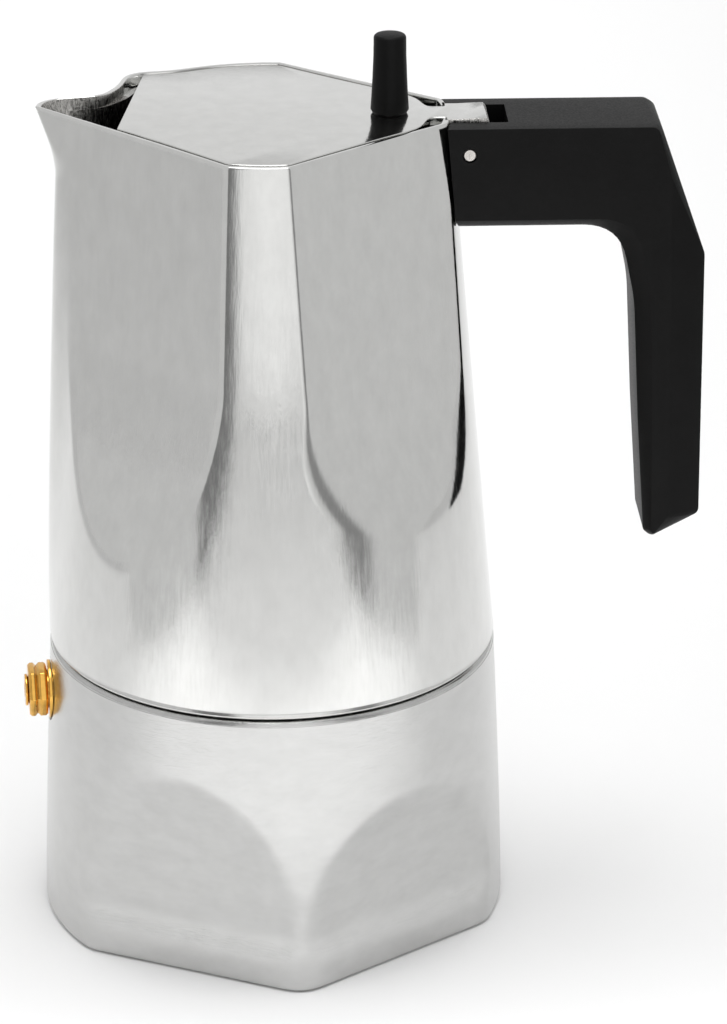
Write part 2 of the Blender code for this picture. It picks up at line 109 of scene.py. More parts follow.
# Ridge that rises to the spout
SPOUT_ANGLE = 174.4
RIDGE_HEIGHT = 6.1
FLARE_START = 172.0
FLARE = 5.1

# Camera: where it stands, its direction and its lens
CAMERA_AT = (-19.1, -872.9, 463.4)
CAMERA_AZIMUTH = -2.607
CAMERA_ELEVATION = 22.968
CAMERA_ROLL = -0.12
CAMERA_LENS = 148.96


# ---------------------------------------------------------------- surfaces

def turn_from(angle, centre):
    """Signed difference between directions in degrees, from -180 to 180."""
    return (angle - centre + 180.0) % 360.0 - 180.0


def soft_min(a, b, edge):
    """Smaller of two values, with the corner between them rounded."""
    reach = np.maximum(edge - np.abs(a - b), 0.0) / edge
    return np.minimum(a, b) - reach * reach * edge * 0.25


def soft_step(low, high, x):
    """Goes smoothly from 0 at low to 1 at high."""
    t = np.clip((x - low) / (high - low), 0.0, 1.0)
    return t * t * (3.0 - 2.0 * t)


def scooped(radius, angle, centre, floor, edge):
    """Cuts a radius back to a scoop's floor where the floor is nearer the axis."""
    off = np.radians(turn_from(angle, centre))
    reach = floor / np.maximum(np.cos(off), 0.3)
    return np.where(np.abs(off) < 1.2, soft_min(radius, reach, edge), radius)


def boiler_radius(angle, z):
    """Outside of the boiler."""
    barrel = SEAM_RADIUS + BARREL_SWELL * (1.0 - (np.maximum(z, 0.0) / SEAM) ** 1.3)
    radius = barrel + 0.0 * angle
    edge = EDGE + RIB_SOFTNESS * (1.0 - soft_step(12.0, 40.0, z))
    for centre, curve in BOILER_SCOOPS:
        floor = SCOOP_DEPTH + curve * np.maximum(z - SCOOP_VALLEY, 0.0) ** 2
        floor = floor + FOOT_STEP * (1.0 - soft_step(5.0, 13.5, z))
        radius = scooped(radius, angle, centre, floor, edge)
    return radius


def spout_ridge(z):
    """How far the ridge to the spout stands out from the cone."""
    rise = RIDGE_HEIGHT * (np.maximum(z - SEAM, 0.0) / (FLARE_START - SEAM)) ** 0.68
    flare = FLARE * (np.maximum(z - FLARE_START, 0.0) / (RIM - FLARE_START)) ** 1.65
    return rise + flare


def collector_radius(angle, z):
    """Outside of the collector: a cone, the ridge to the spout, then the scoops."""
    taper = 0.0955 - 0.0055 * np.cos(np.radians(2.0 * angle))
    radius = SEAM_RADIUS - taper * (z - SEAM)
    flare = np.clip((z - 165.0) / (RIM - 165.0), 0.0, 1.0)
    off = turn_from(angle, SPOUT_ANGLE - 2.6 * flare)
    width = np.where(off < 0.0, 11.0 - flare, 11.0)
    radius = radius + spout_ridge(z) * np.exp(-np.abs(off / width) ** (2.0 + flare))
    radius = radius + 3.9 * flare ** 2 * np.exp(-(turn_from(angle, 135.0) / 9.0) ** 2)
    for centre, depth, slope, bend, rate, power, softness in COLLECTOR_SCOOPS:
        floor = depth + slope * (RIM - z) + rate * np.maximum(bend - z, 0.0) ** power
        edge = EDGE + (softness - EDGE) * (1.0 - soft_step(112.0, 136.0, z))
        radius = scooped(radius, angle, centre, floor, edge)
    return radius


# ---------------------------------------------------------------- mesh tools

def make_object(name, verts, faces):
    """Makes a mesh object from millimetre coordinates."""
    mesh = bpy.data.meshes.new(name)
    mesh.from_pydata((np.asarray(verts, dtype=float) * MM).tolist(), [], faces)
    mesh.update()
    obj = bpy.data.objects.new(name, mesh)
    bpy.context.scene.collection.objects.link(obj)
    return obj


def skin(name, angles, rows, poles=None):
    """Skins rings of points. Each row is (radius, z), a number or one for each direction."""
    n = len(angles)
    cos = np.cos(np.radians(angles))
    sin = np.sin(np.radians(angles))
    points = np.empty((len(rows), n, 3))
    for i, (radius, z) in enumerate(rows):
        points[i, :, 0] = radius * cos
        points[i, :, 1] = radius * sin
        points[i, :, 2] = z
    verts = points.reshape(-1, 3)
    loops = len(rows) - 1 if poles else len(rows)
    i, j = np.meshgrid(np.arange(loops), np.arange(n), indexing="ij")
    i, j = i.ravel(), j.ravel()
    k = (j + 1) % n
    hi = (i + 1) % len(rows)
    faces = np.stack([i * n + j, i * n + k, hi * n + k, hi * n + j], axis=1).tolist()
    if poles:
        low = len(verts)
        verts = np.vstack([verts, [0.0, 0.0, poles[0]], [0.0, 0.0, poles[1]]])
        top = (len(rows) - 1) * n
        faces += [(low, (s + 1) % n, s) for s in range(n)]
        faces += [(low + 1, top + s, top + (s + 1) % n) for s in range(n)]
    return make_object(name, verts, faces)


def heights(low, high, step):
    """Evenly spaced heights from low to high, about a step apart."""
    return np.linspace(low, high, max(2, round(abs(high - low) / step) + 1))


def arc(centre, radius, start, end, steps):
    """Points (radius, z) on an arc of a turned profile; angles in degrees."""
    turns = np.radians(np.linspace(start, end, steps + 1))
    return [(centre[0] + radius * math.cos(t), centre[1] + radius * math.sin(t)) for t in turns]


def turned(name, profile, sides, place=None):
    """Turns a profile of (radius, z). Radius 0 at both ends closes it on the axis."""
    angles = np.arange(sides) * 360.0 / sides
    if profile[0][0] == 0.0:
        obj = skin(name, angles, profile[1:-1], (profile[0][1], profile[-1][1]))
    else:
        obj = skin(name, angles, profile)
    if place is not None:
        obj.data.transform(place)
    return obj


def rounded_profile(points, radius, steps=4):
    """Rounds the corners of a turned profile, except at points on the axis."""
    out = []
    n = len(points)
    closed = points[0][0] != 0.0
    for i, point in enumerate(points):
        if not closed and i in (0, n - 1):
            out.append(point)
            continue
        here = Vector(point)
        before = Vector(points[i - 1]) - here
        after = Vector(points[(i + 1) % n]) - here
        cut = min(radius, 0.45 * before.length, 0.45 * after.length)
        a = here + before.normalized() * cut
        b = here + after.normalized() * cut
        for s in range(steps + 1):
            t = s / steps
            p = a * (1 - t) ** 2 + here * 2 * t * (1 - t) + b * t ** 2
            out.append((p.x, p.y))
    return out


def box(name, low, high):
    """Axis-aligned box."""
    verts = [(x, y, z) for z in (low[2], high[2]) for y in (low[1], high[1]) for x in (low[0], high[0])]
    faces = [(0, 2, 3, 1), (4, 5, 7, 6), (0, 1, 5, 4), (2, 6, 7, 3), (0, 4, 6, 2), (1, 3, 7, 5)]
    return make_object(name, verts, faces)


def face_out(obj):
    """Turns every face outwards."""
    work = bmesh.new()
    work.from_mesh(obj.data)
    bmesh.ops.recalc_face_normals(work, faces=work.faces)
    work.to_mesh(obj.data)
    work.free()


def extrude(name, outline, low, high, along_y=True):
    """Extrudes an outline of (x, z) along Y, or of (x, y) along Z."""
    n = len(outline)
    if along_y:
        verts = [(x, low, z) for x, z in outline] + [(x, high, z) for x, z in outline]
    else:
        verts = [(x, y, low) for x, y in outline] + [(x, y, high) for x, y in outline]
    faces = [tuple(range(n)), tuple(range(n, 2 * n))]
    faces += [(i, (i + 1) % n, n + (i + 1) % n, n + i) for i in range(n)]
    obj = make_object(name, verts, faces)
    face_out(obj)
    return obj


def rod(name, radius, start, end, sides=48):
    """A cylinder between two points."""
    a, b = Vector(start), Vector(end)
    place = Matrix.Translation(a * MM) @ (b - a).to_track_quat("Z", "Y").to_matrix().to_4x4()
    length = (b - a).length
    return turned(name, [(0.0, 0.0), (radius, 0.0), (radius, length), (0.0, length)], sides, place)


def settle(obj):
    """Replaces an object's mesh by what its modifiers make of it."""
    graph = bpy.context.evaluated_depsgraph_get()
    result = bpy.data.meshes.new_from_object(obj.evaluated_get(graph))
    obj.modifiers.clear()
    obj.data = result


def roughen(obj, material, inside):
    """Gives the faces whose centre passes the test, in millimetres, a second material."""
    obj.data.materials.append(material)
    centres = np.empty(len(obj.data.polygons) * 3)
    obj.data.polygons.foreach_get("center", centres)
    x, y, z = centres.reshape(-1, 3).T / MM
    obj.data.polygons.foreach_set("material_index", inside(x, y, z).astype(np.int32))
    obj.data.update()


def boolean(obj, tools, operation="DIFFERENCE"):
    """Applies exact Booleans and removes the tools."""
    for tool in tools:
        step = obj.modifiers.new("Cut", "BOOLEAN")
        step.operation = operation
        step.solver = "EXACT"
        step.object = tool
        settle(obj)
        bpy.data.objects.remove(tool)


def bevel(obj, width, segments, angle=35.0):
    """Rounds the sharp edges of an object."""
    step = obj.modifiers.new("Round", "BEVEL")
    step.width = width * MM
    step.segments = segments
    step.limit_method = "ANGLE"
    step.angle_limit = math.radians(angle)
    step.harden_normals = False
    settle(obj)


def finish_piece(obj, body, node, material, angle=32.0):
    """Shades a piece, gives it its material and ties it to the frame."""
    obj.data.shade_smooth()
    obj.data.set_sharp_from_angle(angle=math.radians(angle))
    obj.data.materials.clear()
    obj.data.materials.append(material)
    for polygon in obj.data.polygons:
        polygon.material_index = 0
    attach(obj, body)
    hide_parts(node)
    return obj


# ---------------------------------------------------------------- materials

class Shader:
    """A Principled material built up node by node, in object space."""

    def __init__(self, name, colour, roughness, metallic=0.0):
        self.material = bpy.data.materials.new(name)
        self.material.use_nodes = True
        self.tree = self.material.node_tree
        self.shader = self.tree.nodes["Principled BSDF"]
        self.colour = colour
        self.place = self.node("ShaderNodeTexCoord").outputs["Object"]
        self.set("Base Color", (*colour, 1.0))
        self.set("Roughness", roughness)
        self.set("Metallic", metallic)

    def node(self, kind, **settings):
        node = self.tree.nodes.new(kind)
        for key, value in settings.items():
            setattr(node, key, value)
        return node

    def set(self, socket, value):
        self.shader.inputs[socket].default_value = value

    def link(self, output, target):
        self.tree.links.new(output, target)

    def noise(self, scale, detail=3.0, roughness=0.55, stretch=(1.0, 1.0, 1.0)):
        """Noise with a scale in waves per metre, stretched by axis."""
        mapping = self.node("ShaderNodeMapping")
        mapping.inputs["Scale"].default_value = stretch
        self.link(self.place, mapping.inputs["Vector"])
        noise = self.node("ShaderNodeTexNoise")
        noise.inputs["Scale"].default_value = scale
        noise.inputs["Detail"].default_value = detail
        noise.inputs["Roughness"].default_value = roughness
        self.link(mapping.outputs["Vector"], noise.inputs["Vector"])
        return noise.outputs["Fac"]

    def remap(self, value, low, high, start=0.3, end=0.7):
        """Maps a 0 to 1 value onto a range."""
        node = self.node("ShaderNodeMapRange")
        node.inputs["From Min"].default_value = start
        node.inputs["From Max"].default_value = end
        node.inputs["To Min"].default_value = low
        node.inputs["To Max"].default_value = high
        self.link(value, node.inputs["Value"])
        return node.outputs["Result"]

    def tint(self, value, dark, light):
        """Colours the base between two shades of its own colour."""
        ramp = self.node("ShaderNodeValToRGB")
        ramp.color_ramp.elements[0].position = 0.3
        ramp.color_ramp.elements[1].position = 0.7
        ramp.color_ramp.elements[0].color = (*[c * dark for c in self.colour], 1.0)
        ramp.color_ramp.elements[1].color = (*[min(1.0, c * light) for c in self.colour], 1.0)
        self.link(value, ramp.inputs["Fac"])
        self.link(ramp.outputs["Color"], self.shader.inputs["Base Color"])

    def bumps(self, *layers):
        """Stacks bump layers of (height, strength, distance in metres)."""
        normal = None
        for height, strength, distance in layers:
            bump = self.node("ShaderNodeBump")
            bump.inputs["Strength"].default_value = strength
            bump.inputs["Distance"].default_value = distance
            self.link(height, bump.inputs["Height"])
            if normal is not None:
                self.link(normal, bump.inputs["Normal"])
            normal = bump.outputs["Normal"]
        self.link(normal, self.shader.inputs["Normal"])


def polished_aluminium():
    """Mirror-polished casting with faint upright polishing lines and a mottled sheen."""
    look = Shader("polished_aluminium", (0.70, 0.70, 0.687), 0.1, 1.0)
    cloud = look.noise(230.0, 6.0, 0.65, (1.0, 1.0, 0.6))
    lines = look.noise(1500.0, 3.0, 0.6, (1.0, 1.0, 0.03))
    look.tint(cloud, 0.955, 1.04)
    look.link(look.remap(lines, 0.06, 0.16), look.shader.inputs["Roughness"])
    look.bumps((lines, 0.04, 0.0003), (cloud, 0.014, 0.0008))
    return look.material


def satin_aluminium():
    """Satin casting with a fine grain that runs round the body."""
    look = Shader("satin_aluminium", (0.57, 0.57, 0.563), 0.2, 1.0)
    grain = look.noise(3200.0, 4.0, 0.65, (0.12, 0.12, 1.0))
    cloud = look.noise(260.0, 6.0, 0.7, (0.6, 0.6, 1.0))
    look.tint(cloud, 0.93, 1.06)
    look.link(look.remap(cloud, 0.16, 0.24), look.shader.inputs["Roughness"])
    look.bumps((grain, 0.16, 0.0003), (cloud, 0.05, 0.0008))
    return look.material


def cast_aluminium():
    """Rough unpolished casting, with upright streaks."""
    look = Shader("cast_aluminium", (0.5, 0.49, 0.47), 0.25, 1.0)
    streaks = look.noise(2600.0, 4.0, 0.7, (1.0, 1.0, 0.18))
    look.tint(streaks, 0.3, 1.5)
    look.link(look.remap(streaks, 0.15, 0.4), look.shader.inputs["Roughness"])
    look.bumps((streaks, 0.4, 0.0003), (look.noise(1600.0, 3.0), 0.25, 0.0003))
    return look.material


def plain_aluminium():
    """Pressed aluminium of the pieces inside."""
    look = Shader("pressed_aluminium", (0.76, 0.76, 0.75), 0.35, 1.0)
    rings = look.noise(1400.0, 2.0, 0.5, (1.0, 1.0, 8.0))
    look.tint(look.noise(80.0), 0.93, 1.03)
    look.link(look.remap(rings, 0.3, 0.42), look.shader.inputs["Roughness"])
    look.bumps((rings, 0.06, 0.0003))
    return look.material


def brass():
    """Bright turned brass."""
    look = Shader("valve_brass", (0.80, 0.45, 0.10), 0.14, 1.0)
    cloud = look.noise(500.0, 3.0)
    look.tint(cloud, 0.88, 1.08)
    look.link(look.remap(cloud, 0.08, 0.2), look.shader.inputs["Roughness"])
    look.bumps((look.noise(3000.0, 2.0), 0.08, 0.0002))
    return look.material


def steel():
    """Plain steel of the pin, screws and washers."""
    look = Shader("fastener_steel", (0.68, 0.65, 0.62), 0.3, 1.0)
    cloud = look.noise(900.0, 3.0)
    look.tint(cloud, 0.9, 1.06)
    look.link(look.remap(cloud, 0.22, 0.4), look.shader.inputs["Roughness"])
    look.bumps((look.noise(5000.0, 2.0), 0.1, 0.0001))
    return look.material


def black_plastic():
    """Fine matt black moulding."""
    look = Shader("black_plastic", (0.004, 0.004, 0.004), 0.42, 0.0)
    look.set("Specular IOR Level", 0.12)
    grain = look.noise(2400.0, 2.0, 0.6)
    look.tint(look.noise(120.0, 4.0), 0.85, 1.15)
    look.link(look.remap(grain, 0.4, 0.52), look.shader.inputs["Roughness"])
    look.bumps((grain, 0.12, 0.0002))
    return look.material


def rubber():
    """Pale matt rubber."""
    look = Shader("gasket_rubber", (0.62, 0.59, 0.53), 0.8, 0.0)
    look.tint(look.noise(300.0, 4.0), 0.92, 1.04)
    look.bumps((look.noise(2500.0, 3.0), 0.15, 0.0003))
    return look.material


# ---------------------------------------------------------------- pieces

def thread_rows(radius, angles, phase):
    """Rows of the helical thread, climbing one pitch in one turn."""
    rows = []
    levels = heights(67.0, 76.0, THREAD_PITCH / 16.0)
    for z in levels:
        turn = (z / THREAD_PITCH - angles / 360.0 + phase) % 1.0
        ridge = soft_step(0.15, 0.85, 1.0 - np.abs(2.0 * turn - 1.0))
        fade = min(1.0, (z - levels[0]) / 1.5, (levels[-1] - z) / 1.5)
        rows.append((radius + THREAD_DEPTH * fade * ridge, z))
    return rows


def along(surface, angles, levels, inset=0.0):
    """Rows that follow a surface at some heights, set in by some distance."""
    return [(surface(angles, z) - inset, z) for z in levels]


def build_boiler(material):
    """Boiler with its scooped flanks and threaded neck."""
    angles = np.arange(600) * 0.6 - 180.0
    rows = [(30.0, 0.0)]
    for t in np.linspace(0.0, 90.0, 6):
        a = math.radians(t)
        rows.append((boiler_radius(angles, 0.0) - 1.3 * (1.0 - math.sin(a)), 1.3 * (1.0 - math.cos(a))))
    rows += along(boiler_radius, angles, heights(1.9, 64.0, 0.7))
    rows += [(r, z) for r, z in arc((SEAM_RADIUS - 1.2, SEAM - 1.5), 1.2, 0.0, 90.0, 6)]
    root = NECK_RADIUS - THREAD_DEPTH
    rows += [(root + 0.6, SEAM - 0.3), (root, SEAM + 0.3)]
    rows += thread_rows(root, angles, 0.0)
    rows += [(root, NECK_TOP - 0.4), (root - 0.4, NECK_TOP)]
    rows += [(MOUTH_RADIUS + 0.4, NECK_TOP), (MOUTH_RADIUS, NECK_TOP - 0.4)]
    rows += [(MOUTH_RADIUS, 63.0), (42.5, 60.2), (45.5, 57.5)]
    rows += along(boiler_radius, angles, heights(52.0, 8.0, 4.0), WALL)
    inner = boiler_radius(angles, 6.5) - WALL
    rows += [(inner - 0.8, 6.2), (inner - 2.4, 5.2), (inner - 4.0, 5.0)]
    boiler = skin("boiler_body", angles, rows, (0.0, 5.0))
    place = valve_place()
    hole = turned("hole", [(0.0, 40.0), (4.3, 40.0), (4.3, 60.0), (0.0, 60.0)], 48, place)
    face = turned("face", [(0.0, 50.1), (7.2, 50.1), (7.2, 60.0), (0.0, 60.0)], 64, place)
    boolean(boiler, [hole, face])
    return finish_piece(boiler, "boiler", "boiler", material)


def valve_place():
    """Frame of the safety valve: its z runs outwards along the valve."""
    outward = Vector((math.cos(VALVE_ANGLE), math.sin(VALVE_ANGLE), 0.0))
    turn = outward.to_track_quat("Z", "Y").to_matrix().to_4x4()
    return Matrix.Translation(Vector((0.0, 0.0, VALVE_HEIGHT * MM))) @ turn


def build_valve(material):
    """Safety valve: washer, hexagonal body, end cap and plunger."""
    place = valve_place()
    ring = rounded_profile([(4.5, 50.3), (6.6, 50.3), (6.6, 51.1), (4.5, 51.1)], 0.2)
    washer = turned("valve_sealing_washer", ring, 64, place)
    finish_piece(washer, "boiler", "valve_washer", material)
    hexagon = [(0.0, 51.3), (5.6, 51.3), (6.1, 51.8), (6.1, 53.0), (5.45, 53.6), (6.1, 54.2),
               (6.1, 55.0), (5.6, 55.5), (0.0, 55.5)]
    body = turned("valve_hexagon", hexagon, 6, place)
    bevel(body, 0.12, 2, 20.0)
    shank = turned("shank", [(0.0, 44.0), (3.6, 44.0), (4.0, 44.4), (4.0, 51.6), (0.0, 51.6)], 48, place)
    boolean(body, [shank], "UNION")
    bore = [(0.0, 43.0), (1.6, 43.0), (1.6, 45.2), (2.6, 46.0),
            (2.6, 54.0), (3.2, 54.0), (3.2, 58.0), (0.0, 58.0)]
    boolean(body, [turned("bore", bore, 48, place)])
    finish_piece(body, "boiler", "valve_body", material)
    cap = [(1.5, 54.3), (2.9, 54.3), (2.9, 55.7), (3.6, 55.7), (3.6, 56.29), (1.5, 56.29)]
    cap = turned("valve_end_cap", rounded_profile(cap, 0.45), 48, place)
    finish_piece(cap, "boiler", "valve_cap", material)
    stem = [(0.0, 45.5), (1.3, 45.5), (2.2, 46.4), (2.2, 47.2), (1.2, 47.4), (1.2, 56.2), (0.0, 56.2)]
    stem = turned("valve_stem", rounded_profile(stem, 0.25), 40, place)
    finish_piece(stem, "relief_plunger", "valve_plunger", material)


def collector_rows(angles):
    """Rows of the collector from the top of its bore, down and round to the column's tip."""
    rows = [(COLUMN_BORE, 146.0), (COLUMN_BORE, 95.0), (7.0, 87.0), (14.0, 84.2)]
    rows += [(36.5, 83.2), (37.5, CEILING), (SKIRT_RADIUS, CEILING)]
    rows += reversed(thread_rows(SKIRT_RADIUS, angles, 0.5))
    rows += [(SKIRT_RADIUS, SEAM + 0.5), (SKIRT_RADIUS + 0.3, SEAM + 0.2)]
    rows += [(r, z) for r, z in arc((SEAM_RADIUS - 0.8, SEAM + 1.0), 0.8, -90.0, -8.0, 5)]
    rows += along(collector_radius, angles, heights(66.6, 186.0, 0.7))
    top = collector_radius(angles, RIM)
    for t in (25.0, 50.0, 70.0, 90.0):
        a = math.radians(t)
        rows.append((top - 0.5 * (1.0 - math.cos(a)), RIM - 0.5 * (1.0 - math.sin(a))))
    open_side = np.exp(-(turn_from(angles, SPOUT_ANGLE - 2.0) / 24.0) ** 4)
    thin = (WALL - LIP) * open_side
    rows += [(top - LIP + 0.35, RIM), (top - LIP + 0.1, RIM - 0.1), (top - LIP, RIM - 0.35)]
    shelf = collector_radius(angles, SHELF)
    rows += [(shelf - LIP, SHELF), (shelf - WALL + thin, SHELF - 0.01)]
    for z in heights(182.0, 92.0, 2.0):
        inset = WALL - thin * soft_step(150.0, 184.0, z)
        rows.append((collector_radius(angles, z) - inset, z))
    floor = collector_radius(angles, 90.0) - WALL
    rows += [(floor - 0.6, 89.6), (floor - 2.0, 88.2), (floor - 4.5, FLOOR)]
    rows += [(14.0, FLOOR + 0.7), (10.0, 89.2), (7.6, 92.0)]
    rows += [(COLUMN_RADIUS, 97.0), (COLUMN_RADIUS, 147.0)]
    rows += [(r, z) for r, z in arc((COLUMN_RADIUS - 3.5, 147.5), 3.5, 5.0, 85.0, 5)]
    return rows


def inside_collector(x, y, z):
    """True for points inside the collector: its wall, floor and column, and inside the spout."""
    angle = np.degrees(np.arctan2(y, x))
    top = np.where(np.abs(turn_from(angle, SPOUT_ANGLE)) < 30.0, RIM - 0.2, SHELF - 0.1)
    in_height = (z > FLOOR - 0.5) & (z < top)
    return in_height & (np.hypot(x, y) < collector_radius(angle, z) - 0.9)


def build_collector(material, cast):
    """Upper vessel with its spout, threaded skirt, central column and lug for the handle."""
    angles = np.arange(720) * 0.5 - 180.0
    collector = skin("collector_body", angles, collector_rows(angles), (146.0, COLUMN_TOP))
    boolean(collector, [box("lug", (38.0, -6.0, SLOT_FLOOR + 0.3), (50.8, 6.0, 171.6))], "UNION")
    slot = box("slot", (-10.0, -1.7, 137.0), (10.0, 1.7, 144.5))
    neck_way = LID_NECK + 0.35
    tail_way = TAIL_HALF + 0.35
    notch = box("notch", (30.0, -neck_way, SHELF), (45.0, neck_way, RIM + 5.0))
    pocket = box("pocket", (TAIL_START - 0.45, -tail_way, 173.0), (45.0, tail_way, RIM + 5.0))
    screw_way = rod("screw_way", 1.75, (HANDLE_SCREW_X, 0.0, 160.0), (HANDLE_SCREW_X, 0.0, 173.0))
    boolean(collector, [slot, notch, pocket, screw_way])
    finish_piece(collector, "collector", "collector", material)
    roughen(collector, cast, inside_collector)


def lid_outline():
    """Plan of the lid: the rim's shape, a slanted end at the spout and the tongue."""
    far = np.linspace(26.0, 133.0, 160)
    near = np.linspace(-164.0, -26.0, 200)

    def edge(angles):
        radius = collector_radius(angles, RIM) - LIP - LID_GAP
        return list(zip(radius * np.cos(np.radians(angles)), radius * np.sin(np.radians(angles))))

    shoulder = [(31.2, 11.6), (32.3, 9.9), (33.0, 8.2), (33.5, 6.5), (34.0, 5.1), (34.6, 4.2),
                (35.4, LID_NECK), (TAIL_START - 0.3, LID_NECK), (TAIL_START, LID_NECK + 0.4),
                (TAIL_START, TAIL_HALF), (41.0, TAIL_HALF)]
    right = [(x, -y) for x, y in shoulder]
    return list(reversed(shoulder)) + edge(far) + edge(near) + right


def on_tail(x, y, z):
    """True for points on the unpolished sides and end of the lid's tail."""
    return (x > TAIL_START - 0.4) & ((np.abs(y) > TAIL_HALF - 0.4) | (x > 46.7))


def build_lid(material, cast):
    """Lid plate with the cast knuckle that turns on the hinge pin."""
    lid = extrude("lid_plate", lid_outline(), LID_TOP - LID_THICKNESS + 0.4, LID_TOP, False)
    bevel(lid, 0.18, 3, 50.0)
    knuckle = [(39.3, LID_TOP - 0.2), (40.2, LID_TOP), (46.6, 186.8), (47.3, 186.0),
               (47.3, 184.0), (47.1, 181.0), (46.4, 178.4), (44.8, 176.7),
               (42.8, 176.3), (41.0, 176.8), (39.7, 178.4), (39.5, 183.0)]
    tail = extrude("tail", knuckle, -TAIL_HALF, TAIL_HALF)
    bevel(tail, 0.25, 2, 40.0)
    boolean(lid, [tail], "UNION")
    pin_way = rod("pin_way", 1.7, (PIVOT_X, -10.0, PIVOT_Z), (PIVOT_X, 10.0, PIVOT_Z))
    boolean(lid, [pin_way, rod("screw_way", 1.8, (KNOB_X, 0.0, 180.0), (KNOB_X, 0.0, 190.0))])
    finish_piece(lid, "lid", "lid", material)
    roughen(lid, cast, on_tail)


def build_knob(material):
    """The tall tapered knob, with a blind hole for its screw."""
    base = RIM + 0.25
    side = [(4.15, base + 0.5), (3.95, base + 3.5), (3.72, base + 8.0), (3.55, base + 12.5),
            (3.5, KNOB_TOP - 1.0)]
    top = arc((2.7, KNOB_TOP - 1.0), 0.8, 10.0, 80.0, 5) + [(1.6, KNOB_TOP - 0.05)]
    profile = [(0.0, base), (3.85, base)] + side + top + [(0.0, KNOB_TOP)]
    place = Matrix.Translation(Vector((KNOB_X * MM, 0.0, 0.0)))
    knob = turned("tall_knob", profile, 96, place)
    hole = [(0.0, 180.0), (1.8, 180.0), (1.8, 198.2), (0.0, 198.2)]
    boolean(knob, [turned("hole", hole, 48, place)])
    return finish_piece(knob, "lid", "lid_knob", material, 40.0)


# Handle outline: (x, z) at the widest, (x, z) of the flat side face, and the corner's radius
HANDLE_OUTLINE = [
    ((30.0, 186.0), (30.0, 185.9), 0.0),
    ((83.9, 186.0), (83.2, 185.9), 2.2),
    ((94.3, 156.4), (86.5, 174.0), 4.0),
    ((94.9, 95.4), (87.9, 95.6), 1.8),
    ((84.4, 89.8), (84.6, 91.2), 1.8),
    ((82.6, 91.4), (84.2, 92.2), 1.0),
    ((80.7, 118.0), (83.6, 118.0), 60.0),
    ((79.2, 146.0), (82.6, 150.0), 40.0),
    ((75.6, 163.3), (78.6, 165.4), 10.0),
    ((30.0, 163.3), (30.0, 165.4), 0.0),
]
CHAMFER_DEPTH = 2.6
CORNER_STEPS = 8


def rounded_outline(corners):
    """Outline through corners of ((x, z), radius), each rounded corner in the same steps."""
    points = []
    n = len(corners)
    for i, (corner, radius) in enumerate(corners):
        here = Vector(corner)
        before = Vector(corners[i - 1][0]) - here
        after = Vector(corners[(i + 1) % n][0]) - here
        if radius == 0.0:
            points.append(here)
            continue
        half = before.angle(after) / 2.0
        reach = min(radius / math.tan(half), 0.48 * before.length, 0.48 * after.length)
        a = here + before.normalized() * reach
        b = here + after.normalized() * reach
        for step in range(CORNER_STEPS + 1):
            t = step / CORNER_STEPS
            points.append(a * (1 - t) ** 2 + here * 2 * t * (1 - t) + b * t ** 2)
    return points


def build_handle(material):
    """Angular handle: bevelled flanks, the slot for the lid's tail and the screw seat."""
    outer = rounded_outline([(wide, radius) for wide, side, radius in HANDLE_OUTLINE])
    flat = rounded_outline([(side, radius) for wide, side, radius in HANDLE_OUTLINE])
    n = len(outer)
    verts = []
    steps = [(0.0, 1.0), (0.25, 0.7), (0.6, 0.32), (1.0, 0.0)]
    near = [(CHAMFER_DEPTH * depth - HANDLE_HALF, share) for depth, share in steps]
    rings = near + [(-y, share) for y, share in reversed(near)]
    for y, share in rings:
        for k in range(n):
            p = outer[k].lerp(flat[k], share)
            verts.append((p.x, y, p.y))
    faces = [tuple(range(n)), tuple(range((len(rings) - 1) * n, len(rings) * n))]
    for level in range(len(rings) - 1):
        for i in range(n):
            k = (i + 1) % n
            faces.append((level * n + i, level * n + k, (level + 1) * n + k, (level + 1) * n + i))
    handle = make_object("handle_grip", verts, faces)
    face_out(handle)
    bevel(handle, 0.45, 3, 16.0)
    body = [(0.0, 150.0)]
    body += [(SEAM_RADIUS - 0.09 * (z - SEAM) + 0.35, z) for z in (150.0, 200.0)] + [(0.0, 200.0)]
    slot = box("slot", (20.0, -SLOT_HALF, SLOT_FLOOR), (SLOT_END, SLOT_HALF, 200.0))
    pin_way = rod("pin_way", 1.6, (PIVOT_X, -20.0, PIVOT_Z), (PIVOT_X, 20.0, PIVOT_Z))
    screw_way = rod("screw_way", 1.75, (HANDLE_SCREW_X, 0.0, 155.0), (HANDLE_SCREW_X, 0.0, 170.0))
    seat = rod("seat", 3.5, (HANDLE_SCREW_X, 0.0, 155.0), (HANDLE_SCREW_X, 0.0, 164.7))
    boolean(handle, [turned("body", body, 360), slot, pin_way, screw_way, seat])
    return finish_piece(handle, "collector", "handle", material, 30.0)


def build_pin(material):
    """Hinge pin with slightly domed ends."""
    half = HANDLE_HALF - 0.25
    pin = [(0.0, -half - 0.1), (1.2, -half), (1.5, -half + 0.3),
           (1.5, half - 0.3), (1.2, half), (0.0, half + 0.1)]
    middle = Matrix.Translation(Vector((PIVOT_X, 0.0, PIVOT_Z)) * MM)
    place = middle @ Matrix.Rotation(math.radians(-90.0), 4, "X")
    finish_piece(turned("hinge_rod", pin, 48, place), "collector", "hinge_pin", material)


def dress(node, material):
    """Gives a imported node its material."""
    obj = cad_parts[node]
    obj.data.materials.clear()
    obj.data.materials.append(material)


# ---------------------------------------------------------------- setting

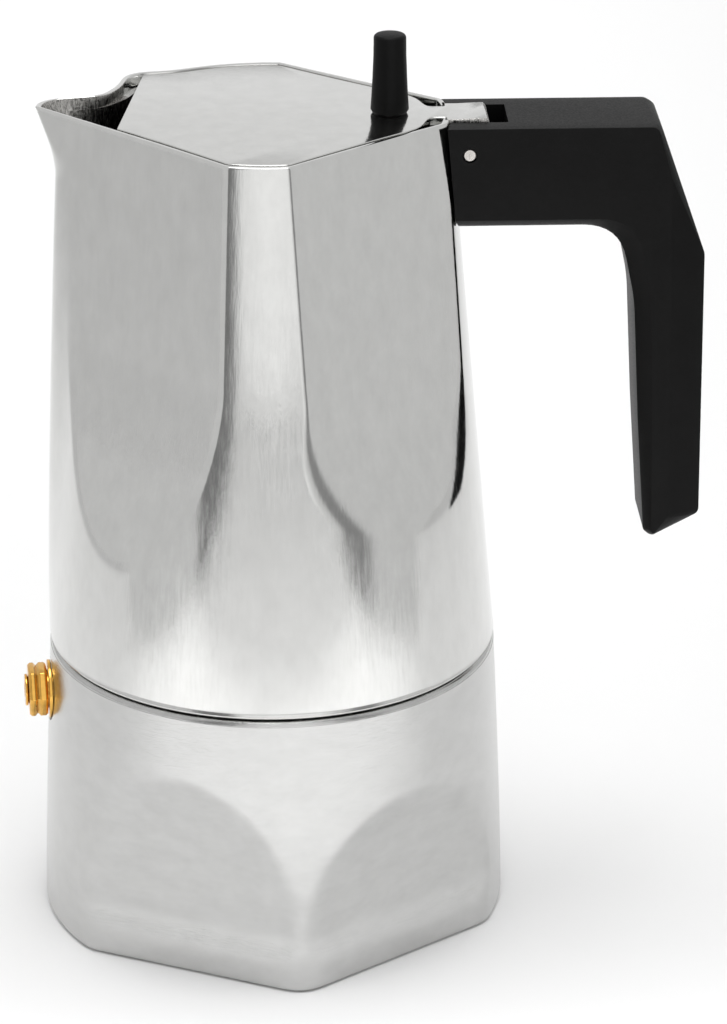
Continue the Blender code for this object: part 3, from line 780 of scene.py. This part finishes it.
def build_floor():
    """Plain pale floor: wide beside and behind the pot, narrower in front of it."""
    look = Shader("floor_pale", (0.9, 0.9, 0.9), 0.9, 0.0)
    look.tint(look.noise(3.0, 2.0), 0.995, 1.0)
    plan = [(-3000.0, -90.0), (-300.0, -90.0), (-240.0, -800.0), (240.0, -800.0), (300.0, -90.0),
            (3000.0, -90.0), (3000.0, 3000.0), (-3000.0, 3000.0)]
    floor = extrude("floor", plan, -20.0, -0.05, False)
    floor.data.materials.append(look.material)


def area_light(name, power, size, location, target, spread):
    """A rectangular soft light; sizes and places in metres."""
    data = bpy.data.lights.new(name, "AREA")
    data.energy = power
    data.shape = "RECTANGLE"
    data.size, data.size_y = size
    data.spread = math.radians(spread)
    light = bpy.data.objects.new(name, data)
    light.location = location
    aim = Vector(target) - Vector(location)
    light.rotation_euler = aim.to_track_quat("-Z", "Y").to_euler()
    bpy.context.scene.collection.objects.link(light)


# Brightness of the surround: (direction round +Z in degrees, radiance)
SURROUND = [(-180.0, 0.69), (-133.0, 0.69), (-127.0, 0.22), (-114.0, 0.22), (-106.0, 1.0), (-90.0, 1.1),
            (-70.0, 1.05), (-56.0, 0.69), (-50.0, 0.3), (-42.0, 0.3), (-34.0, 0.69), (180.0, 0.69)]


def build_surround():
    """Pale surround, brighter in front, with a dark gap at the front left and one at the front right."""
    world = bpy.data.worlds.new("studio")
    world.use_nodes = True
    tree = world.node_tree
    place = tree.nodes.new("ShaderNodeTexCoord")
    split = tree.nodes.new("ShaderNodeSeparateXYZ")
    turn = tree.nodes.new("ShaderNodeMath")
    turn.operation = "ARCTAN2"
    share = tree.nodes.new("ShaderNodeMapRange")
    share.inputs["From Min"].default_value = -math.pi
    share.inputs["From Max"].default_value = math.pi
    ramp = tree.nodes.new("ShaderNodeValToRGB")
    ramp.color_ramp.interpolation = "EASE"
    while len(ramp.color_ramp.elements) < len(SURROUND):
        ramp.color_ramp.elements.new(0.5)
    for element, (angle, value) in zip(ramp.color_ramp.elements, SURROUND):
        element.position = (angle + 180.0) / 360.0
        element.color = (value, value, value, 1.0)
    tree.links.new(place.outputs["Generated"], split.inputs["Vector"])
    tree.links.new(split.outputs["Y"], turn.inputs[0])
    tree.links.new(split.outputs["X"], turn.inputs[1])
    tree.links.new(turn.outputs[0], share.inputs["Value"])
    tree.links.new(share.outputs["Result"], ramp.inputs["Fac"])
    tree.links.new(ramp.outputs["Color"], tree.nodes["Background"].inputs["Color"])
    bpy.context.scene.world = world


def build_light():
    """Soft light from above the pot, from behind it and on the floor in front."""
    build_surround()
    area_light("front", 0.2, (0.56, 0.22), (0.0, -0.21, 0.4), (0.0, -0.21, 0.0), 22.0)
    area_light("overhead", 2.4, (0.7, 2.4), (0.0, 0.65, 1.0), (0.0, 0.65, 0.0), 45.0)
    area_light("back", 1.6, (2.6, 1.2), (0.0, 2.4, 0.95), (0.0, 0.0, 0.15), 180.0)


def build_camera():
    """Camera at the chosen viewing angle."""
    data = bpy.data.cameras.new("camera")
    data.lens = CAMERA_LENS
    data.sensor_width = 36.0
    data.clip_end = 20.0
    camera = bpy.data.objects.new("camera", data)
    a, e, r = (math.radians(v) for v in (CAMERA_AZIMUTH, CAMERA_ELEVATION, CAMERA_ROLL))
    tilt = Matrix.Rotation(math.pi / 2 - e, 4, "X")
    turn = Matrix.Rotation(a, 4, "Z") @ tilt @ Matrix.Rotation(-r, 4, "Z")
    camera.matrix_world = Matrix.Translation(Vector(CAMERA_AT) * MM) @ turn
    bpy.context.scene.collection.objects.link(camera)
    bpy.context.scene.camera = camera
    bpy.context.scene.view_settings.view_transform = "Standard"


def main():
    polished = polished_aluminium()
    satin = satin_aluminium()
    cast = cast_aluminium()
    pressed = plain_aluminium()
    gold = brass()
    plain_steel = steel()
    black = black_plastic()
    build_boiler(satin)
    build_valve(gold)
    build_collector(polished, cast)
    build_lid(polished, cast)
    build_knob(black)
    build_handle(black)
    build_pin(plain_steel)
    for node in ("funnel", "funnel_sieve", "filter_plate"):
        dress(node, pressed)
    for node in ("valve_spring", "knob_washer", "knob_screw", "handle_washer", "handle_screw"):
        dress(node, plain_steel)
    dress("gasket", rubber())
    build_floor()
    build_light()
    build_camera()


main()
